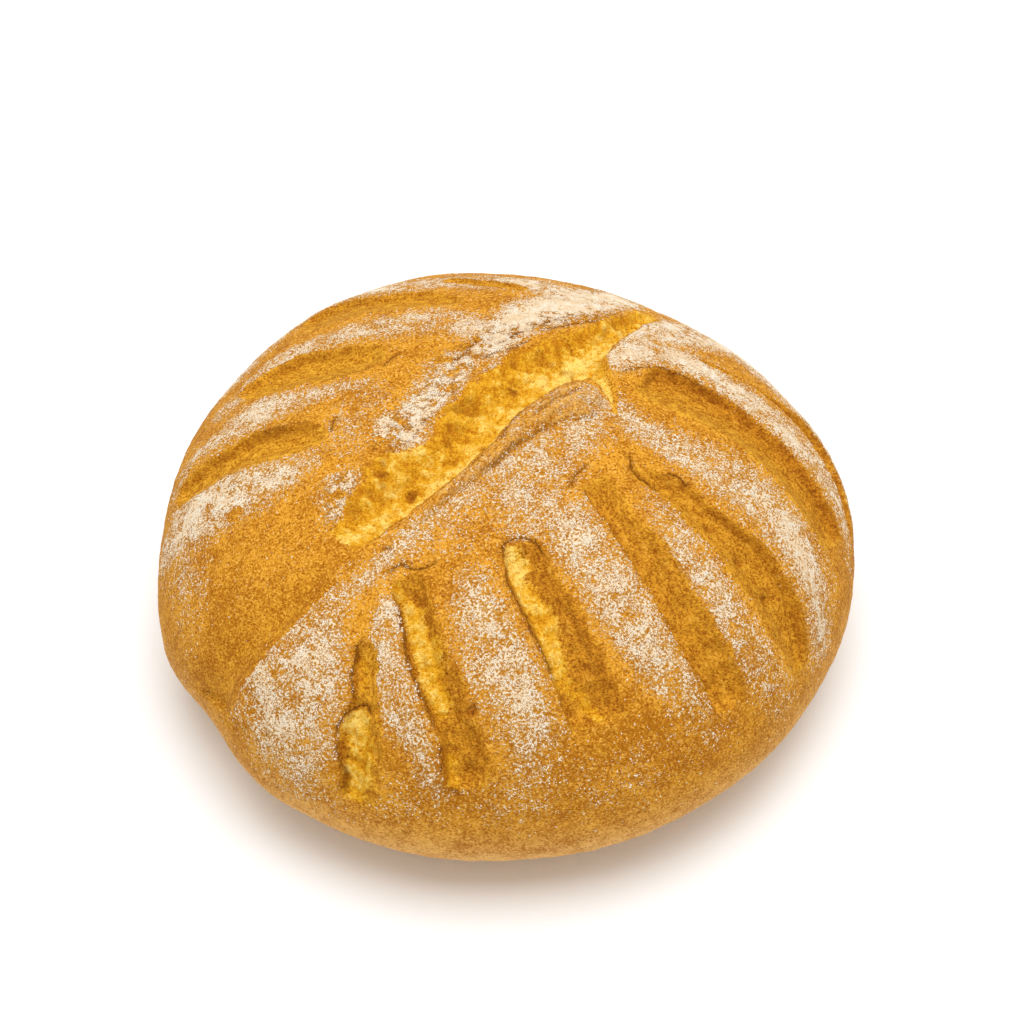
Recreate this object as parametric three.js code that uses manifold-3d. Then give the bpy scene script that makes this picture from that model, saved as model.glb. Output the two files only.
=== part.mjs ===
import * as THREE from 'three';
import { mergeVertices } from 'three/addons/utils/BufferGeometryUtils.js';
import Module from 'manifold-3d';

// A round sourdough loaf: a low dome on a flat base, with a long tear across its crown
// and scored cuts that run from the tear down both flanks.
// Millimetres, +Z up. The origin is on the table, under the middle of the loaf.

// Driving dimensions of the dome
const loafHeight = 95; // of the plain dome, before the lips of its openings
const meanRadius = 120;
const widestLevel = 31; // height of the widest ring above the table
const bellyReach = 42; // how far the belly would curve below that ring if no table flattened it
const crownFullness = 2.25; // 2 makes an ellipse, a higher value a fuller shoulder
const bellyFullness = 2.2;

// How the outline wanders from a circle: lobes, then cosine and sine shares of the mean radius
const outlineWaves = [
  [2, -0.018, -0.003],
  [3, 0.014, -0.003],
  [4, 0.0045, 0.006],
];

// Gentle swells of the crust
const swellHeight = 0.5;
const swellSpan = 13; // millimetres along the crust for one radian of a swell

// Openings of the crust. A path point is [right, back, width]: the degrees that the point leans from
// straight up towards +X and +Y, seen from the middle of the widest ring, and the opening's width there.
// An opening is deepest at its widest point. Its steep edge is on the left (1) or the right (-1) of one
// who walks along the path, and the crust stands proud of it there by the lip.
const openings = {
  crownTear: {
    path: [[36, 52, 10], [20, 29, 30], [3, 9, 22], [-20, -19, 24], [-38, -39, 12]],
    depth: 6, steepSide: 1, lip: 2.6,
  },
  frontValley: {
    path: [[-30, -31, 12], [-46, -49, 26], [-59, -61, 24], [-70, -71, 12]],
    depth: 2.8, steepSide: 1, lip: 0.6,
  },
  leftRim: {
    path: [[6, 54, 3], [-4, 58, 9], [-15, 61, 6]],
    depth: 1.4, steepSide: -1, lip: 0.3,
  },
  leftBack: {
    path: [[-6, 47, 4], [-24, 52, 12], [-50, 44, 8]],
    depth: 2.2, steepSide: -1, lip: 0.5,
  },
  leftUpper: {
    path: [[-25, 29, 4], [-41, 31, 14], [-56, 26, 14], [-72, 14, 8]],
    depth: 3.2, steepSide: -1, lip: 0.9,
  },
  leftLower: {
    path: [[-41, -2, 4], [-54, -3, 15], [-66, -4, 15], [-79, -5, 9]],
    depth: 3.6, steepSide: -1, lip: 1.0,
  },
  rightRim: {
    path: [[42, 32, 4], [60, 25, 13], [74, 12, 13], [83, -8, 8]],
    depth: 3, steepSide: 1, lip: 0.8,
  },
  rightBack: {
    path: [[29, 17, 10], [44, 11, 19], [60, -3, 18], [75, -28, 9]],
    depth: 3.6, steepSide: 1, lip: 1.0,
  },
  rightMiddle: {
    path: [[33, -10, 5], [46, -25, 17], [59, -37, 17], [68, -54, 8]],
    depth: 3.8, steepSide: 1, lip: 1.0,
  },
  rightFront: {
    path: [[22, -17, 6], [31, -35, 19], [42, -51, 18], [52, -68, 8]],
    depth: 4.2, steepSide: -1, lip: 1.0,
  },
  frontRight: {
    path: [[3, -38, 8], [10, -50, 16], [18, -62, 18], [24, -76, 8]],
    depth: 4.2, steepSide: -1, lip: 1.2,
  },
  frontMiddle: {
    path: [[-24, -43, 4], [-18, -58, 14], [-10, -71, 14], [-5, -85, 7]],
    depth: 3.8, steepSide: -1, lip: 1.0,
  },
  frontLeft: {
    path: [[-24, -49, 4], [-30, -60, 7], [-29, -72, 13], [-31, -84, 6]],
    depth: 3.6, steepSide: -1, lip: 0.8,
  },
};
const pathSteps = 48;
const endFade = 0.15; // share of a path over which an opening starts and runs out
const floorShare = 0.2; // where the floor is reached, as a share of the way from the path to the steep edge
const steepWall = 5; // millimetres that the steep wall takes across the opening
const lipSpread = 4.5; // half the width of the raised roll beside a steep edge

// Mesh of the crust
const shellDetail = 24;
const crownBias = 0.35; // crowds the mesh points towards the crown, where the openings are
const mergeTolerance = 1e-4;

const { smoothstep, degToRad } = THREE.MathUtils;
const up = new THREE.Vector3(0, 0, 1);

function outlineRadius(bearing) {
  const waves = outlineWaves.map(([lobes, cosine, sine]) =>
    cosine * Math.cos(lobes * bearing) + sine * Math.sin(lobes * bearing));
  return meanRadius * waves.reduce((total, wave) => total + wave, 1);
}

// The middle of the widest ring. The uneven outline is shifted so that its box is centred on the origin.
function ringMiddle() {
  const outline = new THREE.Box2();
  for (let degrees = 0; degrees < 360; degrees += 1) {
    const bearing = degToRad(degrees);
    const radius = outlineRadius(bearing);
    outline.expandByPoint(new THREE.Vector2(radius * Math.cos(bearing), radius * Math.sin(bearing)));
  }
  const { x, y } = outline.getCenter(new THREE.Vector2());
  return new THREE.Vector3(-x, -y, widestLevel);
}

const middle = ringMiddle();

// The point where a ray from the middle leaves the plain dome, and the dome's outward normal there
function domeAt(direction) {
  const radius = outlineRadius(Math.atan2(direction.y, direction.x));
  const level = Math.hypot(direction.x, direction.y);
  const isCrown = direction.z >= 0;
  const rise = isCrown ? loafHeight - widestLevel : bellyReach;
  const fullness = isCrown ? crownFullness : bellyFullness;
  const flatPart = (level / radius) ** fullness;
  const risePart = (Math.abs(direction.z) / rise) ** fullness;
  const reach = (flatPart + risePart) ** (-1 / fullness);
  const sideways = level > 0 ? flatPart / level ** 2 : 0;
  const upwards = direction.z !== 0 ? risePart / direction.z : 0;
  return {
    point: direction.clone().multiplyScalar(reach).add(middle),
    normal: new THREE.Vector3(direction.x * sideways, direction.y * sideways, upwards).normalize(),
  };
}

// The direction that leans by so many degrees to the right and to the back
function leaning(right, back) {
  const tilt = degToRad(Math.hypot(right, back));
  const bearing = Math.atan2(back, right);
  return new THREE.Vector3(
    Math.sin(tilt) * Math.cos(bearing), Math.sin(tilt) * Math.sin(bearing), Math.cos(tilt));
}

// Each opening as a line of points laid on the dome, with the local width and the way along it
function layOpening({ path, ...shape }) {
  const curve = new THREE.CatmullRomCurve3(path.map((place) => new THREE.Vector3(...place)));
  const places = curve.getSpacedPoints(pathSteps);
  const points = places.map(({ x, y }) => domeAt(leaning(x, y)).point);
  const ways = points.map((point, i) => new THREE.Vector3()
    .subVectors(points[Math.min(i + 1, pathSteps)], points[Math.max(i - 1, 0)])
    .normalize());
  const widths = places.map(({ z }) => z);
  const widest = Math.max(...widths);
  const strengths = widths.map((width, i) => {
    const toEnd = Math.min(i, pathSteps - i) / pathSteps;
    return (width / widest) * smoothstep(toEnd, 0, endFade);
  });
  return { ...shape, points, ways, widths, strengths };
}

const laidOpenings = Object.values(openings).map(layOpening);

// How far one opening lowers the crust at a point, or with its lip raises it, in millimetres
function openingRelief(opening, point, normal) {
  const gaps = opening.points.map((other) => other.distanceTo(point));
  const gap = Math.min(...gaps);
  const nearest = gaps.indexOf(gap);
  const edge = opening.widths[nearest] / 2;
  const leftward = new THREE.Vector3().crossVectors(normal, opening.ways[nearest]);
  const isLeft = leftward.dot(point.clone().sub(opening.points[nearest])) > 0;
  const across = (isLeft ? gap : -gap) * opening.steepSide; // positive towards the steep edge
  const gentleFall = smoothstep(across, -edge, edge * floorShare);
  const steepRise = smoothstep(across, edge - steepWall, edge);
  const roll = Math.exp(-(((across - edge - lipSpread) / lipSpread) ** 2));
  const relief = opening.lip * roll - opening.depth * gentleFall * (1 - steepRise);
  return opening.strengths[nearest] * relief;
}

// The swells die out towards the table
function swellAt({ x, y, z }) {
  const swell = Math.sin(x / swellSpan + 1) * Math.sin(y / swellSpan + 2)
    + Math.sin((x + y) / (2 * swellSpan)) * Math.cos(z / swellSpan);
  return swellHeight * swell * smoothstep(z, 0, widestLevel);
}

function crustPoint(direction) {
  const { point, normal } = domeAt(direction);
  const relief = laidOpenings.reduce(
    (total, opening) => total + openingRelief(opening, point, normal), swellAt(point));
  return point.addScaledVector(normal, relief);
}

// A geometry with nothing but its points, and neighbouring triangles sharing them
function bareGeometry(geometry) {
  geometry.deleteAttribute('normal');
  geometry.deleteAttribute('uv');
  return mergeVertices(geometry, mergeTolerance);
}

function crustGeometry() {
  const shell = bareGeometry(new THREE.IcosahedronGeometry(1, shellDetail));
  const { position } = shell.attributes;
  for (let i = 0; i < position.count; i += 1) {
    const direction = new THREE.Vector3().fromBufferAttribute(position, i);
    direction.addScaledVector(up, crownBias).normalize();
    position.setXYZ(i, ...crustPoint(direction));
  }
  return shell;
}

const wasm = await Module();
wasm.setup();

function toSolid(bare) {
  return new wasm.Manifold(new wasm.Mesh({
    numProp: 3,
    vertProperties: new Float32Array(bare.attributes.position.array),
    triVerts: new Uint32Array(bare.index.array),
  }));
}

function toGeometry(solid) {
  const { vertProperties, triVerts } = solid.getMesh();
  const geometry = new THREE.BufferGeometry();
  geometry.setAttribute('position', new THREE.BufferAttribute(vertProperties, 3));
  geometry.setIndex(new THREE.BufferAttribute(triVerts, 1));
  geometry.computeVertexNormals();
  return geometry;
}

// The loaf is the full round shape with everything under the table's level cut away
function loafGeometry() {
  const tableSpan = 3 * meanRadius;
  const underTable = bareGeometry(new THREE.BoxGeometry(tableSpan, tableSpan, bellyReach));
  underTable.translate(0, 0, -bellyReach / 2);
  return toGeometry(toSolid(crustGeometry()).subtract(toSolid(underTable)));
}

const crust = new THREE.MeshStandardMaterial({
  color: new THREE.Color('rgb(211, 152, 68)'),
  roughness: 0.85,
  metalness: 0,
});

const loaf = new THREE.Mesh(loafGeometry(), crust);
loaf.name = 'loaf';

const sourdoughLoaf = new THREE.Group();
sourdoughLoaf.add(loaf);

export default sourdoughLoaf;
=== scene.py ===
import math

import bpy
import numpy as np
from mathutils import Matrix, Vector


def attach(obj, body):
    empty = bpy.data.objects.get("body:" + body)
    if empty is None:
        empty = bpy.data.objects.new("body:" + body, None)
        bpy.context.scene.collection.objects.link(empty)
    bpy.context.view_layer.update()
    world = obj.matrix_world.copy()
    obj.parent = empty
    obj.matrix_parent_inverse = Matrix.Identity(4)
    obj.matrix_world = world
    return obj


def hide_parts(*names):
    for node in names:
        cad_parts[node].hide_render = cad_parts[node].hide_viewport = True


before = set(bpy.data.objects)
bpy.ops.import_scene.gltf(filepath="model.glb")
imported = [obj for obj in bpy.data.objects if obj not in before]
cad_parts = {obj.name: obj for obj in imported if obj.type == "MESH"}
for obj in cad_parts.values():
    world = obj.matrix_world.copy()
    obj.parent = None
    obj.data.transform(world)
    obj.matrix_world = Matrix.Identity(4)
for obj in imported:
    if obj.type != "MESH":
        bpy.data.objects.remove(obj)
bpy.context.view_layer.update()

# Shapes are worked out in millimetres and made in metres
mm = 0.001
random = np.random.default_rng(18)

# The plain dome, the same low round form as the solid's
dome = {
    "height": 95.0,
    "radius": 120.0,
    "ringLevel": 31.0,  # height of the widest ring
    "bellyReach": 42.0,  # how far it would curve below that ring if no table flattened it
    "crownFullness": 2.25,
    "bellyFullness": 2.2,
    "waves": [(2, -0.018, -0.003), (3, 0.014, -0.003), (4, 0.0045, 0.006)],  # lobes, cosine, sine
    "swell": 0.5,
    "swellSpan": 13.0,
}

# The camera that the outline fits, aimed beside the middle of the dome
look = {
    "elevation": 46.0,
    "distance": 750.0,
    "lens": 78.39,
    "sensor": 36.0,
    "pixels": 1024,
    "aimRight": 3.75,
    "aimHeight": 52.0,
    "searchReach": 160.0,  # how far before and behind the aim the crust is looked for
    "searchStep": 0.25,
}


def ease(value, low, high):
    share = np.clip((value - low) / (high - low), 0, 1)
    return share * share * (3 - 2 * share)


def hill(value, spread):
    return np.exp(-((value / spread) ** 2))


def outlineRadius(bearing):
    wander = sum(c * np.cos(n * bearing) + s * np.sin(n * bearing) for n, c, s in dome["waves"])
    return dome["radius"] * (1 + wander)


# The outline is uneven, so the ring is shifted until the loaf's box is centred
def ringMiddle():
    bearing = np.radians(np.arange(360))
    x = outlineRadius(bearing) * np.cos(bearing)
    y = outlineRadius(bearing) * np.sin(bearing)
    return np.array([-(x.min() + x.max()) / 2, -(y.min() + y.max()) / 2, dome["ringLevel"]])


middle = ringMiddle()


def domeParts(offset):
    level = np.maximum(np.hypot(offset[..., 0], offset[..., 1]), 1e-9)
    height = np.where(np.abs(offset[..., 2]) < 1e-9, 1e-9, offset[..., 2])
    crown = height > 0
    rise = np.where(crown, dome["height"] - dome["ringLevel"], dome["bellyReach"])
    fullness = np.where(crown, dome["crownFullness"], dome["bellyFullness"])
    radius = outlineRadius(np.arctan2(offset[..., 1], offset[..., 0]))
    flat = (level / radius) ** fullness
    tall = (np.abs(height) / rise) ** fullness
    return level, height, fullness, flat, tall


# Where rays from the middle leave the plain dome, and its outward normals there
def domeAt(ways):
    level, height, fullness, flat, tall = domeParts(ways)
    points = ways * ((flat + tall) ** (-1 / fullness))[:, None] + middle
    sideways = flat / level ** 2
    normals = np.stack([ways[:, 0] * sideways, ways[:, 1] * sideways, tall / height], 1)
    return points, normals / np.linalg.norm(normals, axis=1)[:, None]


def cameraAxes():
    tilt = math.radians(look["elevation"])
    back = np.array([0, -math.cos(tilt), math.sin(tilt)])
    right = np.array([1.0, 0, 0])
    aim = np.array([middle[0] + look["aimRight"], middle[1], look["aimHeight"]])
    return right, np.cross(back, right), back, aim


# The direction from the middle to the place where a pixel of the photograph shows the dome
def seen(x, y):
    right, up, back, aim = cameraAxes()
    scale = look["lens"] / look["sensor"] * look["pixels"]
    centre = look["pixels"] / 2
    ray = right * (x - centre) / scale - up * (y - centre) / scale - back
    nearest, farthest = look["distance"] - look["searchReach"], look["distance"] + look["searchReach"]
    steps = np.arange(nearest, farthest, look["searchStep"])
    offset = aim + back * look["distance"] + ray * steps[:, None] - middle
    level, height, fullness, flat, tall = domeParts(offset)
    depth = flat + tall
    hit = np.argmax(depth < 1) if depth.min() < 1 else depth.argmin()  # or the nearest miss
    return offset[hit] / np.linalg.norm(offset[hit])


# The direction that leans by so many degrees to the right and to the back, for places out of sight
def hidden(right, back):
    tilt = math.radians(math.hypot(right, back))
    bearing = math.atan2(back, right)
    level = math.sin(tilt)
    return np.array([level * math.cos(bearing), level * math.sin(bearing), math.cos(tilt)])


def places(pixels):
    return np.array([spot if len(spot) == 3 else seen(*spot) for spot in pixels])


curveSteps = 16  # points of a line from one of its places to the next


# A smooth line laid on the dome through a few places
def layTrail(pixels, steps):
    ways = places(pixels)
    ends = [2 * ways[0] - ways[1], *ways, 2 * ways[-1] - ways[-2]]
    t = np.linspace(0, 1, curveSteps, endpoint=False)[:, None]
    parts = []
    for a, b, c, d in zip(ends, ends[1:], ends[2:], ends[3:]):
        parts.append(b + (c - a) * t / 2 + (2 * a - 5 * b + 4 * c - d) * t ** 2 / 2
                     + (3 * b - a - 3 * c + d) * t ** 3 / 2)
    points = domeAt(np.vstack([*parts, ways[-1:]]))[0]
    run = np.concatenate([[0], np.cumsum(np.linalg.norm(np.diff(points, axis=0), axis=1))])
    even = np.linspace(0, run[-1], steps)
    points = np.stack([np.interp(even, run, points[:, i]) for i in range(3)], 1)
    return {"points": points, "length": even[-1]}


# How far points lie beside a trail, with its left positive, and which share of it they lie along
def beside(trail, points, normals):
    start, end = trail["points"][:-1], trail["points"][1:]
    way = end - start
    length = np.linalg.norm(way, axis=1)
    share = np.einsum("psk,sk->ps", points[:, None] - start, way) / length ** 2
    share = np.clip(share, 0, 1)
    gap = points[:, None] - start - share[..., None] * way
    distance = np.linalg.norm(gap, axis=2)
    best = distance.argmin(1)
    rows = np.arange(len(points))
    leftward = np.cross(normals, way[best])
    side = np.where(np.einsum("pk,pk->p", leftward, gap[rows, best]) > 0, 1, -1)
    along = (best + share[rows, best]) / len(start)
    return distance[rows, best] * side, along


# Values given at even steps of a trail, at any share of its length
def valuesAlong(along, values):
    return np.interp(along, np.linspace(0, 1, len(values)), values)


# The crust's points in a box round some trails
def nearTrails(trails, reach):
    corners = np.vstack([trail["points"] for trail in trails])
    low, high = corners.min(0) - reach, corners.max(0) + reach
    return np.flatnonzero(((crust["points"] > low) & (crust["points"] < high)).all(1))


latticeSize = 64
layerShift = 11.7  # sets the layers of unevenness apart
lattice = random.uniform(-1, 1, (latticeSize, latticeSize, latticeSize))
twist = np.linalg.qr(random.normal(size=(3, 3)))[0]


# Smooth unevenness, -1 to 1, with swells of about the given size
def ripple(points, size, layer=0):
    spot = points @ twist / size + layerShift * layer
    cell = np.floor(spot).astype(int)
    share = ease(spot - cell, 0, 1)
    value = np.zeros(len(points))
    for corner in np.ndindex(2, 2, 2):
        weight = np.where(corner, share, 1 - share).prod(1)
        value += weight * lattice[tuple(((cell + corner) % latticeSize).T)]
    return value


# The grid of crust points: a square folded into rings round the crown, down to the table
grid = {
    "cells": 520,
    "bellyShare": 0.18,  # share of the rings that lies under the widest ring
    "meridianSteps": 400,
}


def makeGrid():
    side = np.linspace(-1, 1, grid["cells"] + 1)
    across, along = np.meshgrid(side, side, indexing="ij")
    ring = np.maximum(np.abs(across), np.abs(along))
    safe = np.where(ring == 0, 1, ring)
    wide = np.abs(across) >= np.abs(along)
    lead = np.where(wide, across, along)
    turn = np.where(wide, along, across) / np.where(lead == 0, 1, lead)
    bearing = np.where(wide, turn * math.pi / 4, math.pi / 2 - turn * math.pi / 4)
    bearing = np.where(lead < 0, bearing + math.pi, bearing)
    radius = outlineRadius(bearing)
    drop = 1 - (dome["ringLevel"] / dome["bellyReach"]) ** dome["bellyFullness"]
    lastTilt = math.pi / 2 + np.arctan2(dome["ringLevel"], radius * drop ** (1 / dome["bellyFullness"]))
    upper = 1 - grid["bellyShare"]
    # on the crown the rings are even along the meridian of the mean dome
    tilts = np.linspace(0, math.pi / 2, grid["meridianSteps"])
    ways = np.stack([np.sin(tilts), 0 * tilts, np.cos(tilts)], 1)
    meridian = domeAt(ways)[0]
    run = np.concatenate([[0], np.cumsum(np.linalg.norm(np.diff(meridian, axis=0), axis=1))])
    crownTilt = np.interp(np.minimum(safe / upper, 1), run / run[-1], tilts)
    bellyTilt = np.clip((safe - upper) / grid["bellyShare"], 0, 1) * (lastTilt - math.pi / 2)
    tilt = np.where(ring == 0, 0, crownTilt + bellyTilt).ravel()
    bearing = bearing.ravel()
    ways = np.stack([np.sin(tilt) * np.cos(bearing), np.sin(tilt) * np.sin(bearing), np.cos(tilt)], 1)
    points, normals = domeAt(ways)
    return {"points": points, "normals": normals, "spots": np.stack([across.ravel(), along.ravel()], 1)}


crust = makeGrid()
count = len(crust["points"])
print("crust grid:", count, "points")

# What the crust carries from place to place
# dark holds painted shade and the crumb's brown bits, pale the crumb's paleness with some painted light
# and shade
carried = ("crumb", "pale", "bare", "brown", "toast", "dark", "flour", "lace", "crack", "crackGap",
           "across", "along")
skin = {name: np.zeros(count) for name in ("relief", "clean", *carried)}

# Unevenness of a few sizes, and the rounded lumps of torn crumb
coarse = ripple(crust["points"], 8.0, 1)
medium = ripple(crust["points"], 3.4, 2)
fine = ripple(crust["points"], 1.5, 3)
lumps = 1.5 * np.abs(ripple(crust["points"], 5.0, 4)) + 0.8 * np.abs(ripple(crust["points"], 2.3, 5)) - 0.7
crumbs = 1.3 * np.abs(ripple(crust["points"], 2.2, 13)) + np.abs(ripple(crust["points"], 1.1, 14)) - 0.7


def paint(name, rows, share, value=1.0):
    skin[name][rows] = np.maximum(skin[name][rows], share * value)


# How far the crust's points lie from one place
def gapFrom(spot):
    return np.linalg.norm(crust["points"] - domeAt(places([spot]))[0], axis=1)


# The crust's points near a line, how far beside it they lie, and which share of it they lie along
def crustBeside(line, reach, steps):
    trail = layTrail(line, steps)
    near = nearTrails([trail], reach)
    return near, *beside(trail, crust["points"][near], crust["normals"][near])


# Streaks of a torn or baked surface, long the way a trail runs
def streaksAt(across, along, stretch, layer):
    spots = np.stack([across, along / stretch, 0 * along], 1)
    return 0.6 * ripple(spots, 1.9, layer) + 0.4 * ripple(spots, 1.1, layer + 1)


# How far points lie inside each of two banks, and which share of that bank they lie along
def insideBanks(banks, points, normals):
    half = len(banks[0]["points"]) // 2
    centre = (banks[0]["points"][half:half + 1] + banks[1]["points"][half:half + 1]) / 2
    above = np.array([[0, 0, 1.0]])
    for bank in banks:
        gap, along = beside(bank, points, normals)
        yield gap * (beside(bank, centre, above)[0][0] > 0 or -1), along


# What an opening has where it gives nothing else. Sizes are millimetres.
usualOpening = {
    "wall": 2.2,  # from the steep bank to the floor
    "lip": 1.0,  # how far the crust stands proud beside the steep bank
    "rough": 0.4,  # how lumpy the floor is
    "ragged": 1.4,  # how far the gentle bank wanders
    "jagged": 0.8,  # how far the steep bank wanders
    "soft": 3.0,  # over which the crust gives way to the floor at the gentle bank
    "bare": 1.0,  # share of the floor that has lost its crust
    "crumb": 0.0,  # share of the floor that is crumb
    "shade": 0.6,  # how dark the painted shade at the foot of the steep bank is
    "fade": 0.12,  # share of its length over which the opening runs out
}

# The openings. Each lies between its steep bank, where the crust stands proud of it, and its gentle
# bank. Places are pixels of the photograph, or hidden() where it can't show them. Brown is how
# baked the floor is, at the steep and at the gentle bank.
openings = {
    "crownTear": {
        "steep": [(668, 317), (640, 327), (617, 345), (604, 360), (598, 376), (580, 382), (562, 386),
                  (543, 398), (516, 417), (497, 440), (466, 468), (431, 496), (402, 520), (376, 538),
                  (350, 556), (328, 572)],
        "gentle": [(655, 308), (612, 315), (570, 330), (520, 350), (478, 375), (448, 405), (420, 440),
                   (375, 455), (354, 488), (340, 516), (322, 540), (306, 562)],
        "brown": (0.0, 0.2), "depth": 6.0, "wall": 2.4, "lip": 0.5, "rough": 1.0, "ragged": 3.2,
        "jagged": 1.6, "crumb": 1.0,
    },
    "fork": {
        "steep": [(560, 318), (586, 329), (602, 349), (610, 368), (615, 386), (618, 401), (616, 422)],
        "gentle": [(534, 350), (556, 364), (576, 374), (592, 383), (601, 394), (607, 407), (611, 422)],
        "brown": (0.0, 0.0), "depth": 4.6, "wall": 3.0, "lip": 0.0, "rough": 0.5, "ragged": 0.6,
        "crumb": 1.0, "shade": 0.15,
    },
    "frontValley": {
        "steep": [(374, 556), (339, 583), (302, 620), (272, 650), (246, 682), (232, 712), (226, 745)],
        "gentle": [(334, 540), (262, 572), (212, 612), (182, 655), (172, 690), (176, 725)],
        "brown": (0.3, 0.1), "depth": 3.4, "wall": 8.0, "lip": 0.7, "rough": 0.1, "ragged": 1.0,
        "bare": 0.4, "fade": 0.06, "soft": 16.0,
    },
    "leftRim": {
        "steep": [hidden(8, 56), hidden(-4, 61), hidden(-16, 63)],
        "gentle": [hidden(8, 54), hidden(-4, 56), hidden(-16, 60)],
        "brown": (0.4, 0.2), "depth": 1.4, "wall": 2.0, "lip": 0.3, "rough": 0.3, "ragged": 1.2,
    },
    "leftBack": {
        "steep": [(474, 303), (430, 293), (380, 297), (335, 308), hidden(-52, 47)],
        "gentle": [(474, 306), (430, 309), (380, 313), (340, 323), hidden(-49, 42)],
        "brown": (0.5, 0.1), "depth": 2.2, "wall": 2.0, "lip": 0.5, "rough": 0.3, "shade": 0.4,
    },
    "leftUpper": {
        "steep": [(404, 345), (350, 347), (309, 352), (278, 364), (250, 382), (228, 404)],
        "gentle": [(398, 358), (350, 377), (323, 381), (275, 393), (246, 403), (226, 414)],
        "brown": (0.3, 0.0), "depth": 3.2, "lip": 0.9, "shade": 0.4,
    },
    "leftLower": {
        "steep": [(345, 420), (309, 423), (284, 428), (256, 434), (231, 447), (200, 467), (172, 500)],
        "gentle": [(340, 432), (305, 454), (275, 464), (240, 473), (212, 488), (185, 505), (166, 522)],
        "brown": (0.3, 0.0), "depth": 3.6, "shade": 0.4,
    },
    "rightRim": {
        "steep": [(680, 351), (720, 366), (760, 387), (800, 418), (829, 456), hidden(84, -8)],
        "gentle": [(684, 356), (735, 377), (773, 400), (803, 433), (829, 474), hidden(82, -10)],
        "brown": (0.6, 0.4), "depth": 3.0, "wall": 2.0, "lip": 0.8, "rough": 0.3, "ragged": 1.2,
    },
    "rightBack": {
        "steep": [(606, 383), (630, 372), (655, 368), (690, 379), (724, 396), (760, 423), (800, 463),
                  (830, 510), (846, 560)],
        "gentle": [(614, 391), (640, 403), (680, 416), (720, 437), (757, 467), (790, 502), (815, 541),
                   (834, 576)],
        "brown": (0.9, 0.0), "depth": 3.6,
    },
    "rightMiddle": {
        "steep": [(628, 447), (645, 468), (667, 475), (694, 491), (723, 515), (761, 542), (782, 569),
                  (799, 598), (806, 632), (803, 690)],
        "gentle": [(622, 462), (640, 486), (667, 508), (694, 537), (713, 556), (732, 584), (751, 606),
                   (767, 632), (786, 667), (796, 692)],
        "brown": (0.6, 0.3), "depth": 3.8, "rough": 0.5, "ragged": 1.8,
    },
    "rightFront": {
        "steep": [(570, 482), (583, 494), (598, 514), (612, 536), (641, 580), (662, 615), (677, 647),
                  (702, 687), (718, 728)],
        "gentle": [(592, 460), (617, 482), (640, 520), (667, 545), (694, 583), (711, 606), (733, 646),
                   (751, 688), (753, 722)],
        "brown": (0.6, 0.5), "depth": 4.2, "rough": 0.5, "ragged": 1.8,
    },
    "frontRight": {
        "steep": [(501, 528), (504, 566), (516, 598), (534, 635), (551, 680), (562, 708), (574, 742)],
        "gentle": [(540, 527), (558, 572), (589, 622), (608, 662), (624, 688), (636, 712), (640, 745)],
        "brown": (0.4, 0.9), "depth": 4.2, "wall": 1.6, "lip": 1.2, "rough": 0.9, "ragged": 2.0,
    },
    "frontMiddle": {
        "steep": [(384, 562), (396, 606), (405, 646), (414, 682), (437, 731), (443, 762), (450, 806)],
        "gentle": [(422, 562), (438, 598), (450, 640), (462, 670), (474, 700), (488, 735), (492, 800)],
        "brown": (0.4, 0.8), "depth": 3.8, "wall": 1.6, "rough": 0.9, "ragged": 2.0,
    },
    "frontLeft": {
        "steep": [(367, 628), (355, 654), (353, 692), (345, 712), (338, 735), (338, 765), (344, 812)],
        "gentle": [(375, 630), (381, 660), (382, 698), (386, 724), (388, 755), (384, 785), (372, 816)],
        "brown": (0.2, 0.3), "depth": 3.6, "wall": 1.6, "lip": 0.8, "rough": 0.9, "ragged": 2.2,
    },
}
openingReach = 16.0  # how far round the banks the crust may change
lipSpread = 4.5  # half the width of the raised roll beside a steep bank
startFade = 0.12  # share of its length over which an opening starts
strandReach = 14.0  # how far from the steep bank the strands are laid out


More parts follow.
